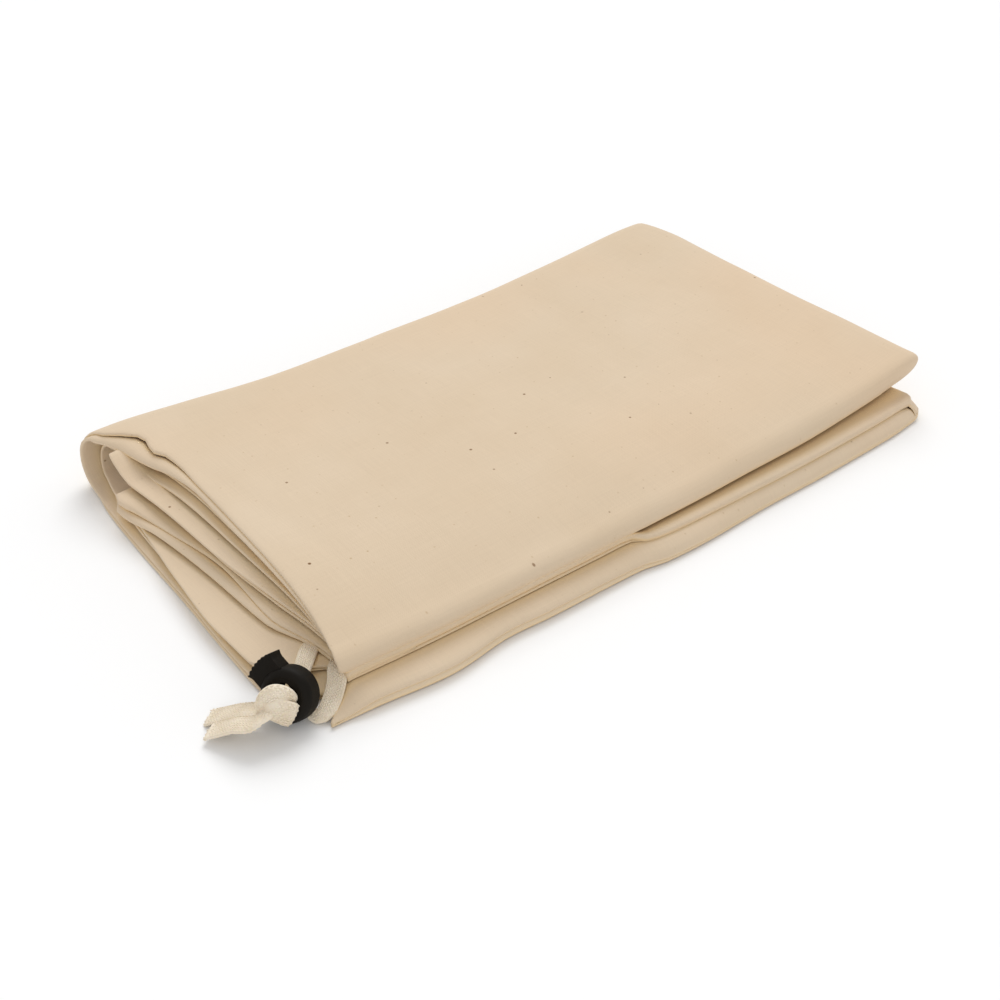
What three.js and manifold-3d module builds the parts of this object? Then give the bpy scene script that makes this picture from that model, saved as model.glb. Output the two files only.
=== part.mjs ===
// A cotton drawstring laundry bag, 500 by 600 mm, folded flat, with a cord lock on its knotted cord.
// Millimetres, +Z up. +X runs along the folded bag, from its open left end to its right fold.
// +Y runs from the front to the round fold at the back. The origin is under the middle of the cloth.
//
// The bag lies flat as two panels, is folded in half across its length and then in thirds across
// its width: a lower third on the table, round the back fold to an upper third, and round the front
// turn to an inner third between the two. Each third is four sheets thick, numbered from the outside:
// sheets 1 and 2 meet in the bottom seam at the left end, and sheets 3 and 4 are the open mouth.

import * as THREE from 'three';
import { mergeVertices } from 'three/addons/utils/BufferGeometryUtils.js';
import Module from 'manifold-3d';

const wasm = await Module();
wasm.setup();

// Cloth
const sheetThickness = 1.1;
const sheetPitch = 1.95;
const gapLowerToInner = 0.8;
const gapInnerToUpper = 1.2;
const bottomSeamDepth = 3;
const bottomSeamWidth = 2;
const sideSeamShare = 0.015;
const mouthStep = 0.1;
const turnSteps = 6;
const wrapSteps = 8;

// Cord and cord lock
const cordRadius = 1.3;
const cordGap = 0.4;
const lockRadius = 9;
const lockThickness = 9;
const lockEdgeRadius = 2.5;
const lockBoreRadius = 4.2;
const lockCentre = new THREE.Vector3(-12.4, -71.7, 9.4);
const lockAxis = new THREE.Vector3(-0.788, -0.395, 0.473).normalize();
const plungerDirection = new THREE.Vector3(-0.142, 0.863, 0.483);
const plungerThickness = 6.4;
const plungerTravel = 4;
const runningGap = 0.3;
const pieceGap = 0.3;

// Offsets of the sheets' faces from the middle of a third, and the heights of the thirds
const outerFace = 1.5 * sheetPitch + sheetThickness / 2;
const outerInside = 1.5 * sheetPitch - sheetThickness / 2;
const innerInside = 0.5 * sheetPitch + sheetThickness / 2;
const innerFace = 0.5 * sheetPitch - sheetThickness / 2;
const lowerHeight = outerFace;
const innerHeight = lowerHeight + 2 * outerFace + gapLowerToInner;
const upperHeight = innerHeight + 2 * outerFace + gapInnerToUpper;
const wrapRadius = (upperHeight - lowerHeight) / 2;
const frontRadius = (upperHeight - innerHeight) / 2;

// Outline of the folded bag, by the distance along it: the front edges of the lower third's two
// pairs of sheets, the centre lines of the front turn and of the back fold, and the inner side seam
const outline = [
  { x: -10, lowerPair: -83, upperPair: -74, frontTurn: -70, backFold: 76, innerSeam: 56 },
  { x: 40, lowerPair: -90, upperPair: -77, frontTurn: -75, backFold: 75, innerSeam: 58 },
  { x: 110, lowerPair: -92, upperPair: -80, frontTurn: -78, backFold: 67, innerSeam: 56 },
  { x: 150, lowerPair: -97, upperPair: -90, frontTurn: -80, backFold: 67, innerSeam: 56 },
  { x: 220, lowerPair: -99, upperPair: -95, frontTurn: -82, backFold: 72, innerSeam: 58 },
  { x: 285, lowerPair: -95, upperPair: -94, frontTurn: -77, backFold: 71, innerSeam: 56 },
];

// Height of the stack against its flat height, at the front, middle and back of the folded bag
const loft = [
  { x: -15, front: 0.99, middle: 1.04, back: 1.1 },
  { x: 60, front: 1.0, middle: 1.03, back: 1.05 },
  { x: 150, front: 1.02, middle: 1.0, back: 1.0 },
  { x: 290, front: 1.0, middle: 0.95, back: 1.0 },
];
const loftFrontY = -90;
const loftBackY = 84;

// Where each sheet ends at the left, and where the right fold reaches, along the way across the
// width. Section 0 is the lower third, 1 the back fold, 2 the upper third, 3 the front turn and 4
// the inner third; share is the way through the section
const ends = [
  { section: 0, share: 0, sheet1: 1, sheet2: 1, sheet3: 7, sheet4: 7, right: 279 },
  { section: 0, share: 0.04, sheet1: 1, sheet2: 1, sheet3: 6, sheet4: 6, right: 281 },
  { section: 0, share: 0.09, sheet1: -3, sheet2: -3, sheet3: -2, sheet4: -2, right: 283 },
  { section: 0, share: 0.17, sheet1: -13, sheet2: -13, sheet3: -12, sheet4: -13, right: 285 },
  { section: 0, share: 0.3, sheet1: -13, sheet2: -13, sheet3: -11, sheet4: -13, right: 287 },
  { section: 0, share: 0.5, sheet1: -10, sheet2: -10, sheet3: -8, sheet4: -10, right: 288 },
  { section: 0, share: 0.75, sheet1: -8, sheet2: -8, sheet3: -6, sheet4: -6, right: 289 },
  { section: 1, share: 0, sheet1: -5, sheet2: -6, sheet3: -3, sheet4: -3, right: 290 },
  { section: 1, share: 0.5, sheet1: -4, sheet2: -6, sheet3: -1, sheet4: 1, right: 293 },
  { section: 2, share: 0, sheet1: 3, sheet2: -2, sheet3: 5, sheet4: 6, right: 294 },
  { section: 2, share: 0.1, sheet1: 14, sheet2: 8, sheet3: 9, sheet4: 9, right: 296 },
  { section: 2, share: 0.25, sheet1: 15, sheet2: 11, sheet3: 10, sheet4: 10, right: 294 },
  { section: 2, share: 0.5, sheet1: 13, sheet2: 11, sheet3: 10, sheet4: 10, right: 290 },
  { section: 2, share: 0.75, sheet1: 10, sheet2: 9, sheet3: 9, sheet4: 9, right: 288 },
  { section: 3, share: 0, sheet1: 5, sheet2: 5, sheet3: 6, sheet4: 6, right: 288 },
  { section: 3, share: 0.5, sheet1: 3, sheet2: 4, sheet3: 5, sheet4: 5, right: 290 },
  { section: 3, share: 0.75, sheet1: 5.5, sheet2: 6, sheet3: 6.5, sheet4: 6.5, right: 288 },
  { section: 4, share: 0, sheet1: 6.5, sheet2: 7, sheet3: 8, sheet4: 8, right: 286 },
  { section: 4, share: 0.1, sheet1: 5.5, sheet2: 6, sheet3: 8, sheet4: 8, right: 286 },
  { section: 4, share: 0.25, sheet1: 0, sheet2: 2, sheet3: 6, sheet4: 6, right: 285 },
  { section: 4, share: 0.5, sheet1: -1, sheet2: 4, sheet3: 3, sheet4: 3, right: 284 },
  { section: 4, share: 0.75, sheet1: -3, sheet2: 0, sheet3: 2, sheet4: 2, right: 284 },
  { section: 4, share: 1, sheet1: -5, sheet2: -5, sheet3: 0, sheet4: 0, right: 284 },
];

// Places along the folded bag where the sheets bend
const bends = [40, 75, 110, 150, 185, 220, 255];

// Routes of the cord's two strands, from where they come out between the layers to the lock's back.
// The last points, through the bore, follow from the lock
const upperStrandRoute = [
  [3.2, -58.6, 8.9],
  [0.6, -61, 8.9],
  [-2.2, -63.6, 8.8],
  [-4.8, -66.2, 8.2],
  [-6.9, -68.2, 7.3],
];
const lowerStrandRoute = [
  [4.2, -72.4, 8.9],
  [3.4, -74.8, 8.3],
  [1.4, -77.2, 6.2],
  [-0.9, -78.9, 4.2],
  [-3.3, -79.7, 2.4],
  [-5.3, -78.4, 1.9],
  [-6.4, -75.8, 2.5],
  [-6.9, -73.2, 4.2],
];
const knotHalfSizes = new THREE.Vector3(5.3, 5.1, 2.85);
const knotDistance = 8.6;
const knotSag = 2;
const tailStart = new THREE.Vector3(-25.5, -73.5, 9.5);
const tailEnd = new THREE.Vector3(-36.3, -59.8, 1.4);
const tailWidth = 6.2;
const tailThickness = 1.6;

const cotton = new THREE.MeshStandardMaterial({ color: '#dcc8a8', roughness: 0.9, metalness: 0 });
const cordCotton = new THREE.MeshStandardMaterial({ color: '#e6dcc0', roughness: 0.92, metalness: 0 });
const blackPlastic = new THREE.MeshStandardMaterial({ color: '#161413', roughness: 0.5, metalness: 0 });

// Reads one column of a table between its rows, at a place given by the key column
function between(rows, key, place, column) {
  if (place <= rows[0][key]) return rows[0][column];
  for (let i = 1; i < rows.length; i += 1) {
    if (place <= rows[i][key]) {
      const share = (place - rows[i - 1][key]) / (rows[i][key] - rows[i - 1][key]);
      return THREE.MathUtils.lerp(rows[i - 1][column], rows[i][column], share);
    }
  }
  return rows[rows.length - 1][column];
}

for (const row of ends) row.way = row.section + row.share;

function endAt(way, column) {
  return between(ends, 'way', way, column);
}

// Point of the folded bag: way across the width, x along the bag, and offset of the sheet from the
// middle of its third, positive towards sheet 1
function foldedPoint(way, x, offset) {
  const section = Math.min(Math.floor(way), 4);
  const share = way - section;
  const frontTurn = between(outline, 'x', x, 'frontTurn');
  const backFold = between(outline, 'x', x, 'backFold');
  let y;
  let z;
  if (section === 0) {
    const pairShare = THREE.MathUtils.clamp(0.5 + offset / (2 * innerFace), 0, 1);
    const upperPair = between(outline, 'x', x, 'upperPair');
    const lowerPair = between(outline, 'x', x, 'lowerPair');
    const frontEdge = THREE.MathUtils.lerp(upperPair, lowerPair, pairShare);
    y = THREE.MathUtils.lerp(frontEdge, backFold, share);
    z = lowerHeight - offset;
  } else if (section === 1) {
    const angle = Math.PI * (share - 0.5);
    y = backFold + (wrapRadius + offset) * Math.cos(angle);
    z = lowerHeight + wrapRadius + (wrapRadius + offset) * Math.sin(angle);
  } else if (section === 2) {
    y = THREE.MathUtils.lerp(backFold, frontTurn, share);
    z = upperHeight + offset;
  } else if (section === 3) {
    const angle = Math.PI * (share + 0.5);
    y = frontTurn + (frontRadius + offset) * Math.cos(angle);
    z = innerHeight + frontRadius + (frontRadius + offset) * Math.sin(angle);
  } else {
    y = THREE.MathUtils.lerp(frontTurn, between(outline, 'x', x, 'innerSeam'), share);
    z = innerHeight - offset;
  }
  return new THREE.Vector3(x, y, z * loftAt(x, y));
}

function loftAt(x, y) {
  const depth = THREE.MathUtils.clamp((y - loftFrontY) / (loftBackY - loftFrontY), 0, 1) * 2;
  const front = between(loft, 'x', x, 'front');
  const middle = between(loft, 'x', x, 'middle');
  const back = between(loft, 'x', x, 'back');
  if (depth < 1) return THREE.MathUtils.lerp(front, middle, depth);
  return THREE.MathUtils.lerp(middle, back, depth - 1);
}

// One run of a sheet's face along the bag, from its left end to the start of the right fold
function run(left, right, offset) {
  const places = [left, ...bends.filter((x) => x > left + 5 && x < right - 5), right];
  return places.map((x) => [x, offset]);
}

// The right fold's half circle, without its two end points
function rightFold(centre, radius) {
  const points = [];
  for (let i = 1; i < turnSteps; i += 1) {
    const angle = Math.PI * (0.5 - i / turnSteps);
    points.push([centre + radius * Math.cos(angle), radius * Math.sin(angle)]);
  }
  return points;
}

// Section of the four sheets together, with the bottom seam's groove between sheets 1 and 2
function outerSection(way) {
  const centre = endAt(way, 'right') - outerFace;
  const left = [1, 2, 3, 4].map((sheet) => endAt(way, `sheet${sheet}`));
  const seam = Math.max(left[0], left[1]) + bottomSeamDepth;
  const fold = rightFold(centre, outerFace);
  const innerFold = rightFold(centre, innerFace).reverse();
  return [
    ...run(left[0], centre, outerFace),
    ...fold,
    ...run(left[3], centre, -outerFace).reverse(),
    [left[3], -sheetPitch - mouthStep],
    [left[2], -sheetPitch + mouthStep],
    ...run(left[2], centre, -innerFace),
    ...innerFold,
    ...run(left[1], centre, innerFace).reverse(),
    [left[1], innerInside],
    [seam, sheetPitch],
    [left[0], outerInside],
  ];
}

// Section of the bag's empty inside, which runs out past the mouth between sheets 3 and 4
function insideSection(way) {
  const centre = endAt(way, 'right') - outerFace;
  const left = Math.max(endAt(way, 'sheet1'), endAt(way, 'sheet2')) + bottomSeamDepth + bottomSeamWidth;
  const beyondMouth = Math.min(endAt(way, 'sheet3'), endAt(way, 'sheet4')) - 5;
  return [
    ...run(left, centre, outerInside),
    ...rightFold(centre, outerInside),
    ...run(beyondMouth, centre, -outerInside).reverse(),
    ...run(beyondMouth, centre, -innerInside),
    ...rightFold(centre, innerInside).reverse(),
    ...run(left, centre, innerInside).reverse(),
  ];
}

// Places across the width where the cloth is worked out, between a first and a last one
function waysAcross(first, last) {
  const ways = new Set([first, last]);
  for (const row of ends) ways.add(row.way);
  for (let i = 0; i <= wrapSteps; i += 1) {
    ways.add(1 + i / wrapSteps);
    ways.add(3 + i / wrapSteps);
  }
  return [...ways].filter((way) => way >= first && way <= last).sort((a, b) => a - b);
}

// Triangles that fill a section, turning the same way as its points
function capOf(ring) {
  const points = ring.map(([x, offset]) => new THREE.Vector2(x, offset));
  const triangles = THREE.ShapeUtils.triangulateShape(points, []);
  const turn = THREE.ShapeUtils.area(triangles[0].map((corner) => points[corner]));
  if (turn * THREE.ShapeUtils.area(points) > 0) return triangles;
  return triangles.map(([a, b, c]) => [a, c, b]);
}

// Closed solid of one section carried along the way across the width
function foldedSolid(sectionAt, first, last) {
  const ways = waysAcross(first, last);
  const rings = ways.map((way) => sectionAt(way));
  const count = Math.min(...rings.map((ring) => ring.length));
  if (rings.some((ring) => ring.length !== count)) throw new Error('sections differ in their points');
  const positions = [];
  ways.forEach((way, i) => {
    for (const [x, offset] of rings[i]) positions.push(...foldedPoint(way, x, offset).toArray());
  });
  const index = [];
  for (let i = 0; i + 1 < ways.length; i += 1) {
    for (let j = 0; j < count; j += 1) {
      const a = i * count + j;
      const b = i * count + ((j + 1) % count);
      index.push(a, b, a + count, b, b + count, a + count);
    }
  }
  const lastRing = (ways.length - 1) * count;
  for (const [a, b, c] of capOf(rings[0])) index.push(a, c, b);
  for (const [a, b, c] of capOf(rings[ways.length - 1])) index.push(lastRing + a, lastRing + b, lastRing + c);
  const geometry = new THREE.BufferGeometry();
  geometry.setAttribute('position', new THREE.Float32BufferAttribute(positions, 3));
  geometry.setIndex(index);
  return geometry;
}

function signedVolume(geometry) {
  const place = geometry.getAttribute('position');
  let sum = 0;
  for (let i = 0; i < geometry.index.count; i += 3) {
    const corners = [i, i + 1, i + 2].map((k) => geometry.index.getX(k));
    const [a, b, c] = corners.map((k) => new THREE.Vector3().fromBufferAttribute(place, k));
    sum += a.dot(b.cross(c)) / 6;
  }
  return sum;
}

// Geometry with merged corners and its faces pointing out, as a solid that can be cut and joined
function solid(geometry) {
  const plain = geometry.clone();
  plain.deleteAttribute('normal');
  plain.deleteAttribute('uv');
  const merged = mergeVertices(plain, 1e-4);
  const triVerts = Uint32Array.from(merged.index.array);
  if (signedVolume(merged) < 0) triVerts.reverse();
  const vertProperties = Float32Array.from(merged.getAttribute('position').array);
  return new wasm.Manifold(new wasm.Mesh({ numProp: 3, vertProperties, triVerts }));
}

function geometryOf(manifold) {
  const mesh = manifold.getMesh();
  const geometry = new THREE.BufferGeometry();
  geometry.setAttribute('position', new THREE.Float32BufferAttribute(mesh.vertProperties, 3));
  geometry.setIndex(new THREE.Uint32BufferAttribute(mesh.triVerts, 1));
  geometry.computeVertexNormals();
  return geometry;
}

function named(name, geometry, material) {
  const mesh = new THREE.Mesh(geometry, material.clone());
  mesh.name = name;
  return mesh;
}

function box(low, high) {
  const size = high.map((value, i) => value - low[i]);
  const middle = high.map((value, i) => (value + low[i]) / 2);
  return new THREE.BoxGeometry(...size).translate(...middle);
}

// Bag: one solid, open at its mouth, with its side seams closed over the first and last few mm
function bagCloth() {
  const whole = solid(foldedSolid(outerSection, 0, 5));
  const inside = solid(foldedSolid(insideSection, sideSeamShare, 5 - sideSeamShare));
  return named('bag_cloth', geometryOf(whole.subtract(inside)), cotton);
}

// Lock, in its own directions: X the way the plunger comes out, Z the way the cord goes through
const plungerOutline = {
  innerEnd: -2.6,
  windowStart: -1.6,
  windowEnd: 5.7,
  windowHalf: 3.2,
  bladeHalf: 3.8,
  neckStart: 7,
  neckHalf: 4.9,
  flareStart: 11,
  flareEnd: 12.6,
  flareHalf: 5.6,
  capEdge: 13.2,
  capCrown: 14.3,
  capTeeth: 5,
  toothDepth: 0.35,
};

function lockBody() {
  const half = lockThickness / 2;
  const profile = [new THREE.Vector2(lockBoreRadius, -half)];
  for (const side of [-1, 1]) {
    for (let i = 0; i <= 3; i += 1) {
      const angle = (side * Math.PI) / 2 - (side > 0 ? (1 - i / 3) : -i / 3) * (Math.PI / 2);
      profile.push(new THREE.Vector2(
        lockRadius - lockEdgeRadius + lockEdgeRadius * Math.cos(angle),
        side * (half - lockEdgeRadius) + lockEdgeRadius * Math.sin(angle),
      ));
    }
  }
  profile.push(new THREE.Vector2(lockBoreRadius, half), new THREE.Vector2(lockBoreRadius, -half));
  const disc = solid(new THREE.LatheGeometry(profile, 28).rotateX(Math.PI / 2));
  const p = plungerOutline;
  const pocketEnd = p.innerEnd - plungerTravel - runningGap;
  const wideEnd = p.neckStart - plungerTravel - runningGap;
  const depth = plungerThickness / 2 + runningGap;
  const blade = p.bladeHalf + runningGap;
  const neck = p.neckHalf + runningGap;
  const bladePocket = box([pocketEnd, -blade, -depth], [wideEnd + 1, blade, depth]);
  const neckPocket = box([wideEnd, -neck, -depth], [lockRadius + 2, neck, depth]);
  const body = disc.subtract(solid(bladePocket)).subtract(solid(neckPocket));
  return named('lock_body', geometryOf(body), blackPlastic);
}

function lockPlunger() {
  const p = plungerOutline;
  const shape = new THREE.Shape();
  shape.moveTo(p.innerEnd, -p.bladeHalf);
  shape.lineTo(p.neckStart, -p.bladeHalf);
  shape.lineTo(p.neckStart, -p.neckHalf);
  shape.lineTo(p.flareStart, -p.neckHalf);
  shape.lineTo(p.flareEnd, -p.flareHalf);
  for (let i = 0; i <= 2 * p.capTeeth; i += 1) {
    const across = i / p.capTeeth - 1;
    const crown = p.capEdge + (p.capCrown - p.capEdge) * (1 - across * across);
    shape.lineTo(crown - (i % 2 ? p.toothDepth : 0), across * p.flareHalf);
  }
  shape.lineTo(p.flareEnd, p.flareHalf);
  shape.lineTo(p.flareStart, p.neckHalf);
  shape.lineTo(p.neckStart, p.neckHalf);
  shape.lineTo(p.neckStart, p.bladeHalf);
  shape.lineTo(p.innerEnd, p.bladeHalf);
  shape.closePath();
  const window = new THREE.Path();
  window.moveTo(p.windowStart, -p.windowHalf);
  window.lineTo(p.windowStart, p.windowHalf);
  window.lineTo(p.windowEnd, p.windowHalf);
  window.lineTo(p.windowEnd, -p.windowHalf);
  window.closePath();
  shape.holes.push(window);
  const geometry = new THREE.ExtrudeGeometry(shape, { depth: plungerThickness, bevelEnabled: false });
  return named('lock_plunger', geometry.translate(0, 0, -plungerThickness / 2), blackPlastic);
}

const lockSide = lockAxis.clone().cross(plungerDirection).normalize();
const lockOut = lockSide.clone().cross(lockAxis).normalize();

function cordLock() {
  const group = new THREE.Group();
  group.add(lockBody(), lockPlunger());
  group.quaternion.setFromRotationMatrix(new THREE.Matrix4().makeBasis(lockOut, lockSide, lockAxis));
  group.position.copy(lockCentre);
  return group;
}

// A strand runs along its route and straight through the lock, to one side of the bore's middle
function strand(name, route, side) {
  const half = lockThickness / 2;
  const across = lockSide.clone().multiplyScalar(side * (cordRadius + cordGap / 2));
  const through = [-half - 0.6, 0, half + 0.2].map((distance) => lockCentre.clone()
    .addScaledVector(lockAxis, distance).add(across));
  const points = [...route.map((point) => new THREE.Vector3(...point)), ...through];
  const path = new THREE.CatmullRomCurve3(points, false, 'centripetal');
  const section = new THREE.Shape();
  section.absarc(0, 0, cordRadius, 0, 2 * Math.PI, false);
  const steps = Math.round(path.getLength() / (2 * cordRadius));
  const sweep = { steps, curveSegments: 4, extrudePath: path, bevelEnabled: false };
  return named(name, new THREE.ExtrudeGeometry(section, sweep), cordCotton);
}

function knot() {
  const geometry = new THREE.SphereGeometry(1, 14, 10);
  geometry.scale(knotHalfSizes.x, knotHalfSizes.y, knotHalfSizes.z);
  const mesh = named('cord_knot', geometry, cordCotton);
  mesh.quaternion.setFromRotationMatrix(new THREE.Matrix4().makeBasis(lockOut, lockSide, lockAxis));
  mesh.position.copy(lockCentre).addScaledVector(lockAxis, knotDistance);
  mesh.position.z -= knotSag;
  return mesh;
}

// The two cut ends lie side by side, flat on the table at their tips
function tail(name, side) {
  const along = tailEnd.clone().sub(tailStart);
  const length = along.length();
  along.normalize();
  const across = new THREE.Vector3(0, 0, 1).cross(along).normalize();
  const up = along.clone().cross(across);
  const mesh = named(name, new THREE.BoxGeometry(length, tailWidth, tailThickness), cordCotton);
  mesh.quaternion.setFromRotationMatrix(new THREE.Matrix4().makeBasis(along, across, up));
  mesh.position.copy(tailStart).add(tailEnd).multiplyScalar(0.5);
  mesh.position.addScaledVector(across, side * (tailWidth + pieceGap) / 2);
  return mesh;
}

const cloth = bagCloth();
cloth.geometry.computeBoundingBox();
const middle = cloth.geometry.boundingBox.getCenter(new THREE.Vector3());

const laundryBag = new THREE.Group();
laundryBag.add(
  cloth,
  cordLock(),
  strand('cord_upper', upperStrandRoute, -1),
  strand('cord_lower', lowerStrandRoute, 1),
  knot(),
  tail('cord_end_back', -1),
  tail('cord_end_front', 1),
);
laundryBag.position.set(-middle.x, -middle.y, -cloth.geometry.boundingBox.min.z);

export default laundryBag;
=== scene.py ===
# Cotton drawstring laundry bag, folded flat, with a cord lock on its knotted cord.
# Shapes are worked out in millimetres from the bag's front left corner, then placed in metres.
import math

import bmesh
import bpy
import numpy as np
from mathutils import Matrix, Vector


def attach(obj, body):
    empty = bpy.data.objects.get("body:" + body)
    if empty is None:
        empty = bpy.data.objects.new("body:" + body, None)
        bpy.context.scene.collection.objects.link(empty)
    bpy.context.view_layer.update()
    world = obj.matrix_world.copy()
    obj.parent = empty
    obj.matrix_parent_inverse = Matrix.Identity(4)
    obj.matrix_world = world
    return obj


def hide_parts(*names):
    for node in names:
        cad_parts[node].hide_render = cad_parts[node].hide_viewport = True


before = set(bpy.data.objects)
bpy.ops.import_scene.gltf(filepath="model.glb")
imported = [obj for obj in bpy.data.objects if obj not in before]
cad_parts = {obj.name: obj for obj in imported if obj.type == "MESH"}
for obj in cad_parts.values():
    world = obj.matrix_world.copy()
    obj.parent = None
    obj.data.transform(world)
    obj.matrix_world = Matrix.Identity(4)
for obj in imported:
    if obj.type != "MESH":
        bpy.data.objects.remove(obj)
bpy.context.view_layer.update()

scene = bpy.context.scene
mm = 0.001
packetShift = np.array([-141.5, 5.8475, 0.0])   # from the front left corner to the part's own origin


def placed(points):
    return (np.asarray(points, float) + packetShift) * mm


def unit(vector):
    vector = np.asarray(vector, float)
    return vector / np.maximum(np.linalg.norm(vector, axis=-1, keepdims=True), 1e-9)


def colourOf(hexText):
    channels = [int(hexText[i:i + 2], 16) / 255 for i in (1, 3, 5)]
    return tuple(c / 12.92 if c <= 0.04045 else ((c + 0.055) / 1.055) ** 2.4 for c in channels) + (1.0,)


# Adds a node; each input is a value or a socket to link from
def addNode(tree, kind, inputs=None, **settings):
    node = tree.nodes.new(kind)
    for name, value in settings.items():
        setattr(node, name, value)
    for name, value in (inputs or {}).items():
        if isinstance(value, bpy.types.NodeSocket):
            tree.links.new(value, node.inputs[name])
        else:
            node.inputs[name].default_value = value
    return node


# Starts a material; even values are the same all over its surface
def startMaterial(name, even):
    material = bpy.data.materials.new(name)
    material.use_nodes = True
    tree = material.node_tree
    tree.nodes.clear()
    shader = addNode(tree, "ShaderNodeBsdfPrincipled", even)
    addNode(tree, "ShaderNodeOutputMaterial", {"Surface": shader.outputs["BSDF"]})
    return material, tree, shader


def linkInto(tree, node, inputs):
    for name, socket in inputs.items():
        tree.links.new(socket, node.inputs[name])


def addObject(name, data):
    thing = bpy.data.objects.new(name, data)
    scene.collection.objects.link(thing)
    return thing


def meshOf(build, name):
    mesh = bpy.data.meshes.new(name)
    build.to_mesh(mesh)
    build.free()
    return mesh


def meshPiece(name, points, faces, material, uvs=None):
    mesh = bpy.data.meshes.new(name)
    mesh.from_pydata([tuple(p) for p in points], [], [tuple(f) for f in faces])
    if uvs is not None:
        corners = np.zeros(len(mesh.loops), dtype=np.int32)
        mesh.loops.foreach_get("vertex_index", corners)
        layer = mesh.uv_layers.new(name="weave")
        layer.data.foreach_set("uv", np.asarray(uvs, np.float32)[corners].ravel())
    mesh.materials.append(material)
    mesh.shade_smooth()
    return addObject(name, mesh)


# Turns a piece with modifiers into a plain mesh of the same name
def settle(piece):
    bpy.context.view_layer.update()
    graph = bpy.context.evaluated_depsgraph_get()
    mesh = bpy.data.meshes.new_from_object(piece.evaluated_get(graph), depsgraph=graph)
    mesh.name = piece.name
    piece.modifiers.clear()
    piece.data = mesh
    return piece


# Quads between rings of the same number of points
def ringFaces(rings, ringPoints, closed=False):
    faces = []
    for i in range(rings if closed else rings - 1):
        n = (i + 1) % rings
        for j in range(ringPoints):
            k = (j + 1) % ringPoints
            faces.append((i * ringPoints + j, i * ringPoints + k, n * ringPoints + k, n * ringPoints + j))
    return faces


def faceOutwards(piece, mergeWithin=0.0):
    build = bmesh.new()
    build.from_mesh(piece.data)
    if mergeWithin:
        bmesh.ops.remove_doubles(build, verts=build.verts, dist=mergeWithin)
    bmesh.ops.recalc_face_normals(build, faces=build.faces)
    build.to_mesh(piece.data)
    build.free()


# Camera
camera = {
    "eye": (-302.0, -338.35, 306.8),        # mm in the part's frame
    "aim": (-38.43, -31.74, 10.0),
    "lens": 48.6,
}


def makeCamera():
    eye = addObject("camera", bpy.data.cameras.new("camera"))
    eye.location = Vector(camera["eye"]) * mm
    eye.rotation_euler = (Vector(camera["aim"]) - Vector(camera["eye"])).to_track_quat("-Z", "Y").to_euler()
    eye.data.lens = camera["lens"]
    eye.data.sensor_width = 36.0
    eye.data.clip_start = 0.01
    scene.camera = eye


makeCamera()
print("camera placed")


# Cotton flat braid, plaited from soft unbleached yarn: pale, matt and a little fuzzy.
braid = {
    "shade": "#e2d3bb",
    "light": "#eee2ce",
    "mottleScale": 160.0,
    "fuzzScale": 1500.0,
}
bumpDepth = 0.0001      # of the cord's and the cloth's fine bumps, in metres


def cordCotton():
    material, tree, shader = startMaterial("braided unbleached cotton", {
        "Roughness": 0.9, "Specular IOR Level": 0.2, "Sheen Weight": 0.15, "Sheen Roughness": 0.5})
    where = addNode(tree, "ShaderNodeTexCoord").outputs["Object"]
    mottle, fine = [addNode(tree, "ShaderNodeTexNoise", {"Vector": where, "Scale": scale, "Detail": 3.0})
                    for scale in (braid["mottleScale"], braid["fuzzScale"])]
    tone = addNode(tree, "ShaderNodeValToRGB", {"Fac": mottle.outputs["Fac"]})
    for k, place, colour in ((0, 0.3, braid["shade"]), (1, 0.7, braid["light"])):
        tone.color_ramp.elements[k].position = place
        tone.color_ramp.elements[k].color = colourOf(colour)
    lit = addNode(tree, "ShaderNodeMix",
                  {"Factor": 0.25, 6: tone.outputs["Color"], 7: fine.outputs["Color"]},
                  data_type="RGBA", blend_type="SOFT_LIGHT")
    bump = addNode(tree, "ShaderNodeBump",
                   {"Strength": 0.35, "Distance": bumpDepth, "Height": fine.outputs["Fac"]})
    linkInto(tree, shader, {"Base Color": lit.outputs[2], "Normal": bump.outputs["Normal"]})
    return material


braidedCotton = cordCotton()


# Cord lock, in its own directions: out the way the plunger moves, axis the way the cord runs
lock = {
    "centre": (-12.4, -71.7, 9.4),
    "axis": (-0.788, -0.395, 0.473),
    "out": (-0.142, 0.863, 0.483),
    "radius": 9.0,
    "thickness": 9.0,
    "boreRadius": 4.2,
    "plungerThickness": 6.4,
    "travel": 4.0,
    "runningGap": 0.3,
}
lockCentre = np.array(lock["centre"])
lockAxis = unit(lock["axis"])
lockSide = unit(np.cross(lockAxis, lock["out"]))
lockOut = unit(np.cross(lockSide, lockAxis))

# Drawcord: a flat braid; its two strands come out of the layers and run through the lock and
# the knot to their cut ends
cord = {
    "width": 6.2,
    "squareness": 2.6,      # of its section: 2 is an oval, and more is nearer to an oblong
    "inLockWidth": 2.9,
    "inLockThickness": 2.8,
    "ringStep": 0.4,
    "ringPoints": 28,
    "ribPitch": 0.72,
    "plaitPitch": 1.05,
    "yarnLength": 1.25,
    "yarnWidth": 0.62,
    "yarnHeight": 0.34,
    "yarnTilt": 24.0,
    "frayedYarns": 60,
    "boreOffset": 1.5,
    "lockBack": -5.1,
    "lockFront": 4.7,
    "tailApart": 3.3,
    "tailStagger": 1.7,     # the two cut ends aren't quite level
}
knotCentre = lockCentre + 8.6 * lockAxis - np.array([0, 0, 2.0])

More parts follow.
